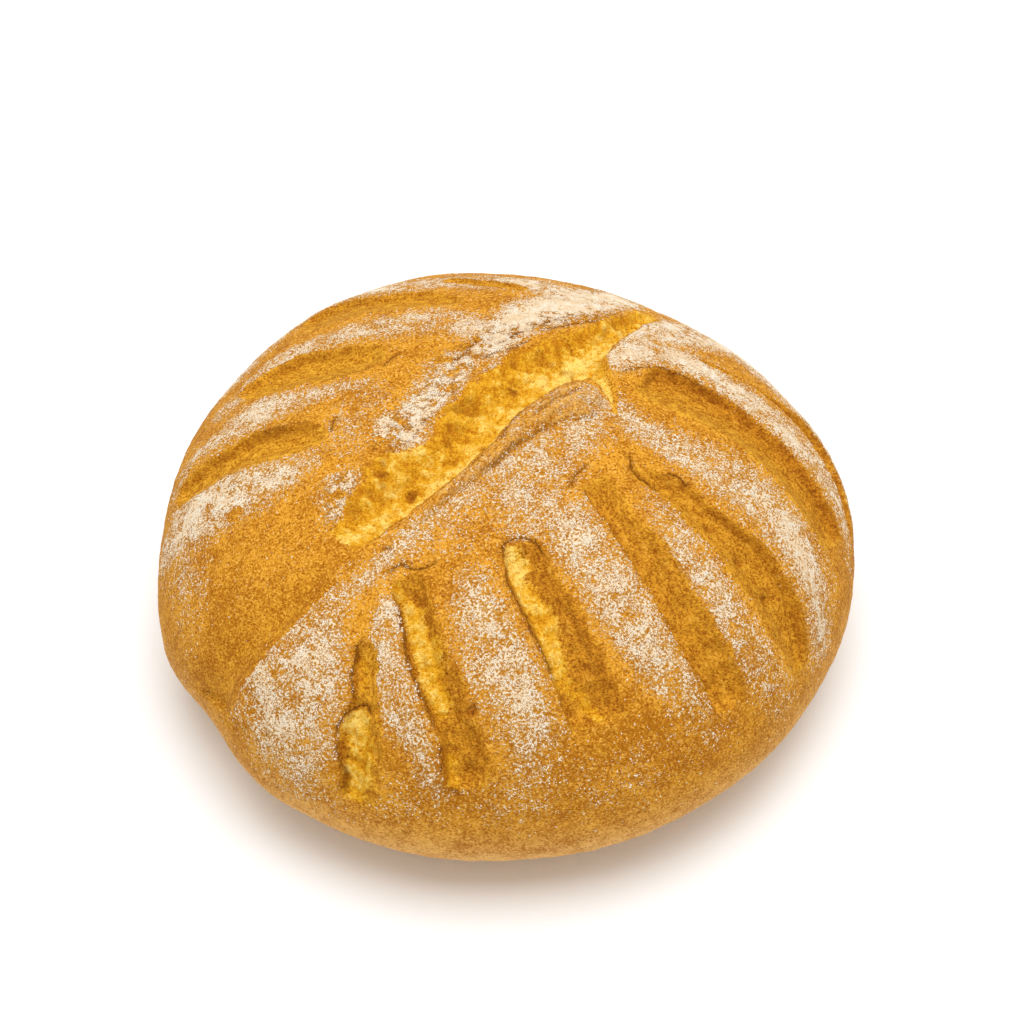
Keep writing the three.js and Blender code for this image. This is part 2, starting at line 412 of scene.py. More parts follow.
def cutOpening(opening):
    steep, gentle = (layTrail(opening[bank], steps=40) for bank in ("steep", "gentle"))
    near = nearTrails([steep, gentle], openingReach)
    points, normals = crust["points"][near], crust["normals"][near]
    (fromSteep, along), (fromGentle, alongGentle) = insideBanks([steep, gentle], points, normals)
    width = np.maximum(fromSteep + fromGentle, 0.5)
    widest = np.linalg.norm(steep["points"] - gentle["points"], axis=1).max()
    ends = ease(along, 0, startFade) * ease(1 - along, 0, opening["fade"])
    ends *= ease(alongGentle, 0, startFade) * ease(1 - alongGentle, 0, opening["fade"])
    strength = ends * np.clip(width / widest, 0, 1) ** 0.7
    # both banks wander
    wobble = 0.6 * coarse[near] + 0.5 * medium[near] + 0.3 * fine[near]
    inSteep = fromSteep + opening["jagged"] * wobble
    inGentle = fromGentle + opening["ragged"] * wobble
    fall = ease(inGentle, 0, 0.6 * width)
    wall = ease(inSteep, 0, opening["wall"])
    inside = ease(inGentle, -0.6, opening["soft"]) * ease(inSteep, -0.5, 0.7) * ease(ends, 0, 0.4)
    fromStart = along * steep["length"]
    streaks = streaksAt(fromSteep, fromStart, stretch=7, layer=6)
    floor = -strength * opening["depth"] * fall * wall
    old = skin["relief"][near]
    relief = old * (1 - inside) + np.minimum(old, floor) * inside
    relief += strength * opening["lip"] * hill(fromSteep + lipSpread, lipSpread)
    unevenness = 0.8 * lumps[near] + 0.4 * crumbs[near] + 0.7 * streaks
    skin["relief"][near] = relief + opening["rough"] * unevenness * inside * wall
    skin["toast"][near] *= 1 - inside
    skin["dark"][near] *= 1 - inside
    paint("clean", near, inside)
    paint("bare", near, inside, opening["bare"])
    atSteep, atGentle = opening["brown"]
    paint("brown", near, inside * (atGentle + (atSteep - atGentle) * np.clip(inGentle / width, 0, 1)))
    paint("crumb", near, inside * wall, opening["crumb"])
    # brown bits of crust stick out of the crumb towards the gentle bank
    bits = ease(0.7 * medium[near] + 0.5 * coarse[near], 0.2, 0.45)
    bits *= 1 - ease(inGentle / width, 0.3, 0.75)
    paint("dark", near, bits * inside, 0.5 * opening["crumb"])
    # painted shade at the foot of the steep bank, and a toasted edge on top of it
    foot = hill(inSteep - 0.35 * opening["wall"], 1.0) * ease(strength, 0.1, 0.6)
    paint("dark", near, foot * ease(medium[near] + 0.5 * streaks, -0.6, 0.4), opening["shade"])
    paint("toast", near, hill(fromSteep + 1.0, 1.3) * ends * ease(wobble, -0.6, 0.5), 0.5)
    # strands run along the steep bank
    close = np.abs(fromSteep) < strandReach
    skin["across"][near[close]] = fromSteep[close]
    skin["along"][near[close]] = fromStart[close]


for opening in openings.values():
    cutOpening({**usualOpening, **opening})
print("openings:", len(openings))

# The brown roll along the tear, between the tear's edge and a crease, with fine ridges
roll = {
    "inner": [(599, 412), (602, 400), (594, 388), (578, 383), (560, 387), (543, 398), (516, 417),
              (497, 440), (466, 468), (431, 496), (400, 523), (375, 545)],
    "outer": [(598, 414), (588, 420), (574, 422), (560, 423), (545, 429), (528, 440), (512, 452),
              (496, 465), (476, 480), (448, 502), (422, 526), (394, 552)],
    "height": 2.6,
    "ridge": 0.9,
    "reach": 9.0,
}


def brownRoll():
    inner, outer = (layTrail(roll[bank], steps=60) for bank in ("inner", "outer"))
    near = nearTrails([inner, outer], roll["reach"])
    points, normals = crust["points"][near], crust["normals"][near]
    (fromInner, along), (fromOuter, alongOuter) = insideBanks([inner, outer], points, normals)
    share = np.clip(fromInner / np.maximum(fromInner + fromOuter, 1.0), 0, 1)
    arch = 4 * share * (1 - share)
    ends = ease(np.maximum(along, alongOuter), 0, 0.02) * ease(1 - along, 0, 0.3)
    band = ease(fromInner + 0.9 * medium[near], -0.4, 0.8)
    band = band * ease(fromOuter + 0.6 * medium[near], -0.8, 0.8) * ends
    fromStart = along * inner["length"]
    ridges = streaksAt(fromInner, fromStart, stretch=9, layer=8)
    rise = roll["height"] * np.sqrt(np.clip(arch, 0, 1)) + roll["ridge"] * ridges
    skin["relief"][near] += rise * band
    skin["crumb"][near] *= 1 - band
    paint("toast", near, band * np.clip(0.7 + 0.6 * ridges + 0.3 * fine[near], 0, 1))
    # painted shade: the roll's sides are darker than its arched top
    paint("dark", near, band * (1 - arch) ** 2 * ease(ridges, -0.5, 0.5), 0.4)
    paint("bare", near, band, 0.3)
    skin["across"][near] = np.where(band > 0.05, fromInner, skin["across"][near])
    skin["along"][near] = np.where(band > 0.05, fromStart, skin["along"][near])


brownRoll()

# Where pale crumb shows in the openings: a line, the widths along it, how pale it is, and how much
# crumb it adds to a floor that has none
crumbPatches = {
    "tearTop": ([(664, 313), (640, 321), (618, 332), (602, 342)], [3, 7, 10, 14], 0.45, 0),
    "tearUpper": ([(608, 340), (590, 352), (572, 362), (552, 374)], [9, 14, 16, 15], 0.78, 0),
    "tearArch": ([(550, 378), (572, 378), (594, 376), (606, 386), (614, 409)], [7, 6, 8, 6, 4], 0.75, 0),
    "tearMiddle": ([(556, 356), (530, 376), (505, 398), (480, 424)], [10, 14, 14, 12], 0.4, 0),
    "besideRoll": ([(548, 390), (522, 408), (502, 428), (484, 450)], [7, 11, 12, 12], 0.82, 0),
    "tearLower": ([(486, 440), (462, 458), (435, 480), (405, 503)], [15, 18, 18, 13], 0.72, 0),
    "tearEnd": ([(408, 500), (385, 517), (362, 530), (346, 542)], [13, 13, 11, 7], 0.62, 0),
    "tearLeftLobe": ([(414, 448), (392, 460), (386, 474), (396, 490)], [8, 11, 12, 8], 0.55, 0),
    "frontRightBulb": ([(514, 553), (518, 567)], [11, 11], 0.85, 1.0),
    "frontRightCrumb": (
        [(513, 574), (523, 592), (535, 612), (547, 636), (559, 668)], [9, 13, 13, 11, 7], 0.42, 1.0),
    "frontRightLow": ([(562, 682), (580, 698), (600, 716)], [5, 8, 6], 0.2, 0.75),
    "frontMiddleTop": ([(394, 582), (397, 597)], [6, 7], 0.4, 0.9),
    "frontMiddleCrumb": (
        [(409, 606), (418, 632), (426, 656), (433, 682), (439, 710)], [7, 12, 13, 11, 6], 0.45, 1.0),
    "frontMiddleLow": ([(448, 762), (452, 786), (457, 808)], [7, 8, 5], 0.25, 0.9),
    "frontLeftTop": ([(361, 660), (362, 690)], [5, 5], 0.1, 0.6),
    "frontLeftCrumb": ([(358, 722), (358, 745), (355, 775), (351, 806)], [9, 12, 9, 6], 0.3, 1.0),
    "frontLeftBulb": ([(354, 722), (356, 736)], [7, 8], 0.6, 1.0),
}


def layCrumb():
    for line, widths, pale, crumb in crumbPatches.values():
        near, across, along = crustBeside(line, max(widths) + 4, steps=24)
        half = valuesAlong(along, widths) / 2
        edge = np.abs(across) + 1.8 * medium[near] + 1.2 * coarse[near] + 0.6 * fine[near]
        share = (1 - ease(edge, 0.2 * half, half + 1.2)) * ease(skin["bare"][near], 0.4, 0.9)
        paint("crumb", near, share, crumb)
        paint("pale", near, 1 - ease(edge, 0, 1.2 * half + 2), pale)
    # painted light and shade: the lumps are paler than the creases between them
    skin["pale"] = np.clip(skin["pale"] + (0.35 * lumps + 0.5 * crumbs) * skin["crumb"], 0, 1)


layCrumb()
print("crumb patches:", len(crumbPatches))

# Thin cracks: how dark their painted shadow is, the depth in millimetres, and the places along the line
cracks = {
    "hookOfFrontRight": (
        1.0, 0.66, [(505, 562), (503, 549), (508, 540), (518, 536), (531, 538), (541, 548), (549, 560)]),
    "edgeOfFrontRight": (
        0.9, 0.66, [(504, 552), (507, 575), (516, 598), (531, 630), (545, 660), (556, 692)]),
    "hookOfFrontLeft": (
        1.0, 0.66, [(337, 742), (338, 727), (345, 715), (357, 706), (366, 708), (372, 720)]),
    "edgeOfFrontLeft": (0.8, 0.55, [(338, 733), (338, 752), (341, 775), (344, 800)]),
    "frontLeftCrack": (0.9, 0.66, [(367, 634), (357, 652), (353, 672), (353, 692), (358, 707)]),
    "topOfFrontMiddle": (
        0.9, 0.66, [(389, 578), (393, 570), (401, 566), (411, 569), (421, 570), (432, 563), (441, 558)]),
    "edgeOfFrontMiddle": (
        0.9, 0.66, [(394, 590), (401, 618), (406, 648), (414, 680), (430, 714), (438, 736)]),
    "lowerFrontMiddle": (1.0, 0.77, [(441, 744), (441, 758), (443, 774)]),
    "topOfRightMiddle": (0.9, 0.66, [(629, 449), (630, 460), (633, 470), (650, 482), (664, 490)]),
    "besideRightMiddle": (0.9, 0.5, [(664, 474), (676, 478), (690, 488)]),
    "tipOfRightFront": (0.7, 0.44, [(590, 463), (577, 474), (566, 489)]),
    "outsideRoll": (0.5, 0.39, [(566, 423), (545, 429), (528, 440), (512, 452), (496, 465), (482, 475)]),
    "insideRoll": (0.7, 0.28, [(560, 388), (543, 400), (517, 418), (498, 441), (467, 469), (436, 492)]),
    "rollFold": (0.5, 0.28, [(586, 392), (566, 400), (545, 412), (526, 428)]),
    "smallFold": (0.7, 0.33, [(381, 551), (388, 549), (396, 552)]),
    "leftUpperEnd": (0.8, 0.44, [(402, 353), (391, 360), (380, 368)]),
    "leftUpperSide": (0.5, 0.22, [(320, 380), (350, 372), (378, 366)]),
    "leftLowerEnd": (0.9, 0.5, [(338, 414), (333, 423), (327, 433)]),
    "leftLowerSide": (0.5, 0.22, [(252, 437), (280, 428), (318, 419)]),
    "wrinkleA": (
        0.9, 0.39, [(484, 350), (500, 342), (514, 336), (528, 328), (545, 323), (560, 317), (585, 315)]),
    "wrinkleB": (0.8, 0.33, [(478, 362), (496, 352), (516, 346), (534, 338)]),
    "wrinkleC": (0.8, 0.33, [(535, 333), (556, 327), (582, 323), (604, 318)]),
    "wrinkleD": (0.6, 0.28, [(446, 372), (458, 358), (474, 345), (492, 334)]),
    "wrinkleE": (0.3, 0.28, [(556, 336), (570, 340), (581, 350)]),
    "wrinkleF": (0.6, 0.28, [(398, 445), (412, 436), (424, 420), (436, 408)]),
    "rightBackEdge": (
        0.7, 0.44, [(616, 378), (628, 371), (648, 368), (668, 371), (692, 381), (720, 395)]),
}

crackForm = {
    "spread": 0.7,  # half the width of a crack's groove
    "reach": 4.0,
    "farthest": 9.0,  # beyond this the finish knows no crack
}

# Small uneven hollows, darkened with painted shade: place, radius and depth
pits = [
    ((742, 557), 3.2, 1.4), ((770, 597), 3.4, 1.8), ((712, 527), 2.4, 1.0), ((472, 712), 2.0, 1.4),
    ((471, 731), 1.3, 1.2), ((444, 752), 1.5, 1.2), ((410, 482), 2.6, 1.6), ((368, 463), 2.6, 1.0),
    ((378, 470), 2.0, 1.0), ((457, 449), 2.0, 1.0), ((514, 381), 1.8, 0.8), ((546, 389), 1.9, 0.8),
    ((525, 407), 1.5, 0.8), ((466, 402), 1.8, 0.9), ((450, 424), 1.6, 0.8), ((392, 514), 1.9, 0.9),
    ((401, 521), 1.6, 0.8), ((420, 600), 2.0, 1.0), ((413, 592), 1.6, 0.8), ((452, 792), 1.6, 0.8),
    ((505, 440), 0.9, 0.6), ((484, 437), 0.8, 0.6), ((442, 467), 0.9, 0.7),
]


def openCracks():
    nearest = np.full(count, crackForm["farthest"])
    for shadowDarkness, depth, line in cracks.values():
        near, across, along = crustBeside(line, crackForm["reach"], steps=30)
        across = across + 0.7 * medium[near] + 0.35 * fine[near]
        ends = ease(along, 0, 0.2) * ease(1 - along, 0, 0.2)
        skin["relief"][near] -= depth * hill(across, crackForm["spread"]) * ends
        closer = (np.abs(across) < nearest[near]) & (ends > 0)
        rows = near[closer]
        nearest[rows] = np.abs(across[closer])
        skin["crackGap"][rows] = across[closer]
        skin["crack"][rows] = shadowDarkness * ends[closer]
    # each pit is sunk, and painted shade darkens it and makes the crumb round it less pale
    for spot, radius, depth in pits:
        gap = gapFrom(spot) + 1.6 * medium + fine
        hollow = 1 - ease(gap, 0, radius)
        skin["relief"] -= depth * hollow
        skin["dark"] = np.maximum(skin["dark"], hollow)
        skin["pale"] -= 0.5 * (1 - ease(gap, 0.5 * radius, 2.4 * radius)) * (skin["pale"] > 0.3)


openCracks()
print("cracks and pits:", len(cracks), len(pits))

# Where flour lies: a line, the widths of the dusted band along it, and how thick the dust is
flourBands = {
    "frontBulge": (
        [(328, 604), (308, 640), (294, 678), (290, 722), (296, 768), (320, 802)],
        [22, 50, 66, 64, 46, 26], [0.5, 0.6, 0.6, 0.56, 0.46, 0.2]),
    "foldEdge": ([(390, 552), (350, 580), (312, 616)], [10, 12, 14], [0.2, 0.26, 0.4]),
    "besideFrontLeft": (
        [(389, 608), (386, 660), (398, 705), (418, 745), (440, 792)], [7, 14, 17, 12, 8],
        [0.7, 0.62, 0.6, 0.5, 0.34]),
    "frontMiddleBand": (
        [(474, 584), (480, 620), (500, 668), (520, 705), (530, 745), (532, 790)],
        [18, 26, 32, 30, 26, 20], [0.45, 0.62, 0.62, 0.58, 0.46, 0.26]),
    "frontRightBand": (
        [(555, 505), (590, 555), (622, 605), (655, 655), (690, 700), (712, 735)],
        [26, 31, 31, 27, 19, 11], [0.48, 0.56, 0.56, 0.62, 0.5, 0.26]),
    "behindRoll": ([(590, 430), (545, 460), (520, 490), (530, 520)], [20, 36, 34, 28], [0.44]),
    "alongRoll": (
        [(606, 412), (575, 428), (530, 448), (485, 482), (420, 530), (365, 580), (312, 616)],
        [9, 8, 9, 10, 10, 8, 6], [0.5]),
    "outsideRoll": ([(500, 490), (440, 530), (380, 580)], [20, 20, 12], [0.27]),
    "onRoll": (
        [(590, 402), (562, 405), (530, 422), (500, 446), (462, 480)], [9, 8, 6, 6, 5],
        [0.62, 0.4, 0.34, 0.2, 0.2]),
    "betweenRightCuts": (
        [(655, 500), (690, 560), (718, 604), (748, 650), (780, 700)], [16, 25, 26, 25, 20],
        [0.36, 0.5, 0.55, 0.48, 0.26]),
    "rightShoulder": (
        [(612, 406), (645, 430), (695, 458), (745, 490), (785, 532), (812, 580), (822, 640)],
        [8, 16, 25, 32, 32, 30, 26], [0.66, 0.58, 0.6, 0.62, 0.6, 0.52, 0.4]),
    "rightBackBand": (
        [(606, 364), (650, 352), (700, 370), (745, 397), (792, 438), (832, 495), (848, 560)],
        [14, 24, 26, 27, 28, 22, 10], [0.66, 0.7, 0.7, 0.7, 0.66, 0.5, 0.2]),
    "rightRimBand": (
        [(628, 338), (690, 333), (740, 355), (795, 393), (835, 445), hidden(88, -5)],
        [22, 34, 34, 30, 24, 8], [0.72, 0.74, 0.7, 0.6, 0.4, 0.05]),
    "crownLeft": ([(490, 350), (515, 324), (560, 306), (620, 298)], [12, 28, 34, 22], [0.86]),
    "crownPatch": ([(486, 382), (500, 373), (520, 364)], [6, 9, 6], [0.85]),
    "crownChips": ([(536, 366), (534, 362)], [3, 3], [0.7]),
    "lowerCrown": (
        [(456, 366), (440, 386), (416, 412), (402, 434)], [20, 22, 18, 12], [0.56, 0.66, 0.72, 0.8]),
    "lowerCrownEnd": ([(384, 420), (400, 436), (418, 434)], [10, 13, 8], [0.72]),
    "besideTear": ([(345, 482), (338, 496), (338, 512)], [15, 18, 12], [0.52]),
    "leftOfTear": ([(372, 400), (352, 412), (346, 440)], [20, 24, 20], [0.3]),
    "leftBackBand": (
        [(480, 330), (430, 322), (385, 328), (330, 340), (280, 362), hidden(-66, 22)],
        [20, 24, 20, 14, 12, 10], [0.56]),
    "leftUpperBand": (
        [(372, 383), (330, 389), (294, 399), (255, 416), (222, 438), (195, 460), (176, 488)],
        [6, 8, 14, 25, 18, 12, 12], [0.4, 0.46, 0.6, 0.86, 0.56, 0.44, 0.4]),
    "leftLowerBand": (
        [(304, 462), (282, 474), (250, 489), (212, 506), (182, 526), (166, 552)],
        [16, 26, 36, 40, 38, 26], [0.5, 0.64, 0.66, 0.7, 0.64, 0.5]),
    "topRim": (
        [(560, 290), (480, 282), (400, 288), (330, 305), (270, 342), (220, 390)],
        [30, 22, 20, 18, 14, 14], [0.6, 0.56, 0.5]),
    "leftRimHaze": ([(184, 556), (188, 590), (188, 630)], [28, 30, 22], [0.32, 0.34, 0.2]),
    "frontLow": (
        [(380, 800), (450, 800), (540, 800), (640, 770), (720, 725)], [24, 28, 30, 30, 24],
        [0.16, 0.24, 0.2, 0.14]),
    "betweenFrontCuts": ([(392, 540), (430, 545), (470, 540), (510, 520)], [16, 18, 18, 18], [0.2]),
    "farSide": (
        [hidden(70, 30), hidden(45, 60), hidden(10, 74), hidden(-35, 66), hidden(-66, 38)],
        [26, 30, 30, 30, 24], [0.5]),
}

# Small spots that the dust left free: place and radius
bareSpots = [((236, 514), 4.2), ((458, 347), 3.0), ((255, 436), 2.6), ((548, 322), 1.6)]

# Where the crust baked browner: a line, its width and how brown
brownedPatches = [
    ([(540, 775), (610, 762), (680, 735), (730, 700)], 34, 0.6),
    ([(225, 520), (215, 570), (235, 640), (262, 690)], 26, 0.4),
    ([(420, 770), (470, 790)], 24, 0.6),
]

# Where the dust is cracked like lace, along the tear's ragged side: a line and its width
laceBands = [
    ([(470, 352), (500, 332), (550, 320), (612, 314)], 16),
    ([(484, 382), (502, 372), (522, 363)], 10),
    ([(454, 368), (438, 392), (412, 418), (392, 440)], 24),
    ([(347, 482), (340, 497), (338, 512)], 16),
]


# The crust near a line, how far it lies inside the widths given along it, and where along the line
def strokeShare(line, widths, feather, wander):
    near, across, along = crustBeside(line, max(widths), steps=40)
    half = valuesAlong(along, widths) / 2
    edge = np.abs(across) + wander * (1.3 * coarse[near] + 0.7 * medium[near])
    return near, 1 - ease(edge, 0.15 * half, half + feather), along


def dustCrust():
    skin["flour"] += 0.06 * ease(crust["points"][:, 2], 15, 50)
    for line, widths, amounts in flourBands.values():
        near, share, along = strokeShare(line, widths, feather=4.0, wander=2.4)
        paint("flour", near, share, valuesAlong(along, amounts))
    for line, width in laceBands:
        near, share = strokeShare(line, [width], feather=1.0, wander=1.0)[:2]
        paint("lace", near, share)
    for line, width, brown in brownedPatches:
        near, share = strokeShare(line, [width], feather=6.0, wander=3.0)[:2]
        paint("brown", near, share, brown)
    for spot, radius in bareSpots:
        skin["flour"] *= 0.15 + 0.85 * ease(gapFrom(spot) + medium, 0.6 * radius, radius)
    skin["flour"] *= 1 - 0.9 * ease(np.maximum(skin["clean"], 0.45 * skin["toast"]), 0.2, 0.75)
    skin["flour"] *= 1 - skin["crumb"]
    skin["lace"] *= 1 - np.maximum(skin["crumb"], skin["bare"])
    uneven = 0.42 * coarse + 0.34 * medium + 0.6 * skin["lace"] * (medium + fine)
    skin["flour"] = np.clip(skin["flour"] * (1 + uneven), 0, 1)


dustCrust()

# The outline is pressed in where the valley runs out
dent = {"place": hidden(-75, -55), "reach": 20.0, "depth": 3.5}


# All relief: the openings', the gentle swells of the dome, the dent and the grain of baked crust
def grainCrust():
    x, y, z = crust["points"].T
    gap = gapFrom(dent["place"])
    span = dome["swellSpan"]
    swell = np.sin(x / span + 1) * np.sin(y / span + 2) + np.sin((x + y) / (2 * span)) * np.cos(z / span)
    grain = 0.16 * coarse + 0.14 * medium + 0.1 * fine
    relief = skin["relief"] + dome["swell"] * swell + grain - dent["depth"] * hill(gap, dent["reach"])
    return relief * ease(z, 0, 9)  # none at the table


relief = grainCrust()
shape = (crust["points"] + crust["normals"] * relief[:, None]) * mm
print("relief from", round(relief.min(), 2), "to", round(relief.max(), 2), "mm")

# Where things lie in the bake map
bakeMap = {
    "crust": 0.43,  # half the side of the crust's square
    "base": 0.93,  # middle of the base
    "baseSide": 0.12,
    "grains": 0.49,  # half the side of the square that the grains are laid over
    "grain": 0.006,  # size of one grain
    "margin": 0.01,
}


# A mesh from its vertices, the corners of all its faces in one row, and where each face starts
def meshFrom(name, vertices, corners, starts):
    mesh = bpy.data.meshes.new(name)
    mesh.vertices.add(len(vertices))
    mesh.vertices.foreach_set("co", vertices.ravel())
    mesh.loops.add(len(corners))
    mesh.loops.foreach_set("vertex_index", corners)
    mesh.polygons.add(len(starts))
    mesh.polygons.foreach_set("loop_start", starts)
    mesh.update(calc_edges=True)
    mesh.validate()
    return mesh


def put(name, data):
    thing = bpy.data.objects.new(name, data)
    bpy.context.scene.collection.objects.link(thing)
    return thing


# The loaf: the crust grid, closed by a flat base
def makeLoaf():
    side = grid["cells"] + 1
    index = np.arange(count).reshape(side, side)
    quads = np.stack([index[:-1, :-1], index[1:, :-1], index[1:, 1:], index[:-1, 1:]], -1).reshape(-1, 4)
    ring = np.concatenate([index[0, :-1], index[:-1, -1], index[-1, :0:-1], index[:0:-1, 0]])
    vertices = np.vstack([shape, [[0, 0, 0]]])
    vertices[ring, 2] = 0
    fan = np.stack([ring, np.roll(ring, -1), np.full(len(ring), count)], 1)
    corners = np.concatenate([quads.ravel(), fan.ravel()])
    starts = np.concatenate([np.arange(len(quads)) * 4, quads.size + np.arange(len(fan)) * 3])
    mesh = meshFrom("loafCrust", vertices, corners, starts)
    spots = ((np.vstack([crust["spots"], [[0, 0]]]) + 1) * bakeMap["crust"])[corners]
    # the base has its own corner of the map
    fromCentre = vertices[fan.ravel(), :2] / (2 * dome["radius"] * mm)
    spots[quads.size:] = bakeMap["base"] + fromCentre * bakeMap["baseSide"]
    mesh.uv_layers.new(name="OFBake").data.foreach_set("uv", spots.ravel())
    for name in carried:
        values = np.append(skin[name], 0)
        mesh.attributes.new(name, "FLOAT", "POINT").data.foreach_set("value", values.astype(np.float32))
    mesh.shade_smooth()
    return put("loafCrust", mesh)


loaf = makeLoaf()
print("loaf:", len(loaf.data.polygons), "faces")


# One socket, with the operators that shader expressions use
class Wire:
    def __init__(self, finish, socket):
        self.finish = finish
        self.socket = socket

    def math(self, operation, first, second):
        return self.finish.node("ShaderNodeMath", {"operation": operation}, {0: first, 1: second})

    def __add__(self, other):
        return self.math("ADD", self, other)

    def __radd__(self, other):
        return self.math("ADD", other, self)

    def __sub__(self, other):
        return self.math("SUBTRACT", self, other)

    def __rsub__(self, other):
        return self.math("SUBTRACT", other, self)

    def __mul__(self, other):
        return self.math("MULTIPLY", self, other)

    def __rmul__(self, other):
        return self.math("MULTIPLY", other, self)

    def __truediv__(self, other):
        return self.math("DIVIDE", self, other)

    def __abs__(self):
        return self.finish.node("ShaderNodeMath", {"operation": "ABSOLUTE"}, {0: self})


# A material under construction
class Finish:
    def __init__(self, name):
        self.material = bpy.data.materials.new(name)
        self.material.use_nodes = True
        self.nodes = self.material.node_tree.nodes
        self.links = self.material.node_tree.links
        self.shader = self.nodes["Principled BSDF"]

    def feed(self, socket, value):
        if isinstance(value, Wire):
            self.links.new(value.socket, socket)
        else:
            socket.default_value = value

    def node(self, kind, settings, inputs, output=0):
        made = self.nodes.new(kind)
        for name, value in settings.items():
            setattr(made, name, value)
        for key, value in inputs.items():
            self.feed(made.inputs[key], value)
        return Wire(self, made.outputs[output])

    def attribute(self, name):
        return self.node("ShaderNodeAttribute", {"attribute_name": name}, {}, "Fac")

    def grain(self, place, size, detail=2.0, roughness=0.5):
        inputs = {"Vector": place, "Scale": 1 / size, "Detail": detail, "Roughness": roughness}
        return self.node("ShaderNodeTexNoise", {}, inputs, "Fac")

    def between(self, value, low, high):
        inputs = {"Value": value, "From Min": low, "From Max": high}
        return self.node("ShaderNodeMapRange", {"interpolation_type": "SMOOTHSTEP"}, inputs)

    def blend(self, share, under, over):
        return self.node("ShaderNodeMix", {"data_type": "RGBA"}, {0: share, 6: under, 7: over}, 2)

    # lays one colour after another over the first, each with its share
    def over(self, base, *coats):
        for share, coat in coats:
            base = self.blend(share, base, coat)
        return base

    def wear(self, name, value):
        self.feed(self.shader.inputs[name], value)


lightGain = 1.15  # how far the studio light lifts a colour on the crown


# A colour as the photograph shows it, 0 to 255, in the studio light
def colour(red, green, blue):
    def linear(value):
        value /= 255
        return (value / 12.92 if value <= 0.04045 else ((value + 0.055) / 1.055) ** 2.4) / lightGain
    return (linear(red), linear(green), linear(blue), 1)


# The baked crust, its crumb and its flour in one finish. Sizes are metres, apart from those of
# strands and cracks, which are millimetres.
crustLook = {
    "deepCrust": colour(176, 105, 6),
    "goldCrust": colour(236, 166, 46),
    "paleFleck": colour(250, 204, 114),
    "darkFleck": colour(138, 74, 2),
    "deepFloor": colour(170, 98, 4),
    "goldFloor": colour(248, 184, 50),
    "deepBaked": colour(140, 74, 2),
    "goldBaked": colour(222, 148, 32),
    "paleStreak": colour(238, 186, 86),
    "deepCrumb": colour(196, 122, 10),
    "goldCrumb": colour(234, 172, 30),
    "paleCrumb": colour(255, 218, 112),
    "toasted": colour(172, 108, 30),
    "toastEdge": colour(240, 182, 88),
    # the rim colours are partly the crust's own paler colour and partly painted light; the low colour is
    # painted light alone
    "deepRim": colour(212, 146, 64),
    "paleRim": colour(255, 208, 138),
    "lowPaintedLight": colour(252, 200, 128),
    # crackDark is the dark of painted shadow in cracks and creases, and of the lace's seams
    "crackDark": colour(124, 68, 6),
    # colours of painted shade, also of the crumb's brown bits
    "lightShadeBrown": colour(190, 118, 16),
    "deepShadeBrown": colour(126, 66, 2),
    "gapShade": colour(168, 104, 18),
    "flourWhite": colour(255, 235, 203),
    "flourFilm": colour(242, 196, 122),
    "flourCover": 0.82,  # how much of the crust the specks and the film round them hide
    "filmCover": 0.36,
    "speck": 0.0008,  # sizes of the noises
    "worm": 0.0017,
    "mottle": 0.0009,
    "pepper": 0.0005,
    "blotch": 0.0034,
    "patch": 0.012,
    "rip": 0.0042,
    "strandAcross": 1.7,  # size of a strand
    "strandAlong": 6,
    "laceAcross": 0.0032,  # size of the lace's meshes
    "laceAlong": 0.0062,
    "rimHeights": (0.008, 0.046),  # the rim's colours fade out from the first to the second
    "lowHeights": (0.005, 0.034),
    "crackWidth": 0.4,
    "crackShade": 2.2,  # how far the painted brown shade reaches from a crack
    "roughness": 0.78,
    "gloss": 0.12,
    "bumpDepth": 0.0007,
    "bumpStrength": 0.8,
}


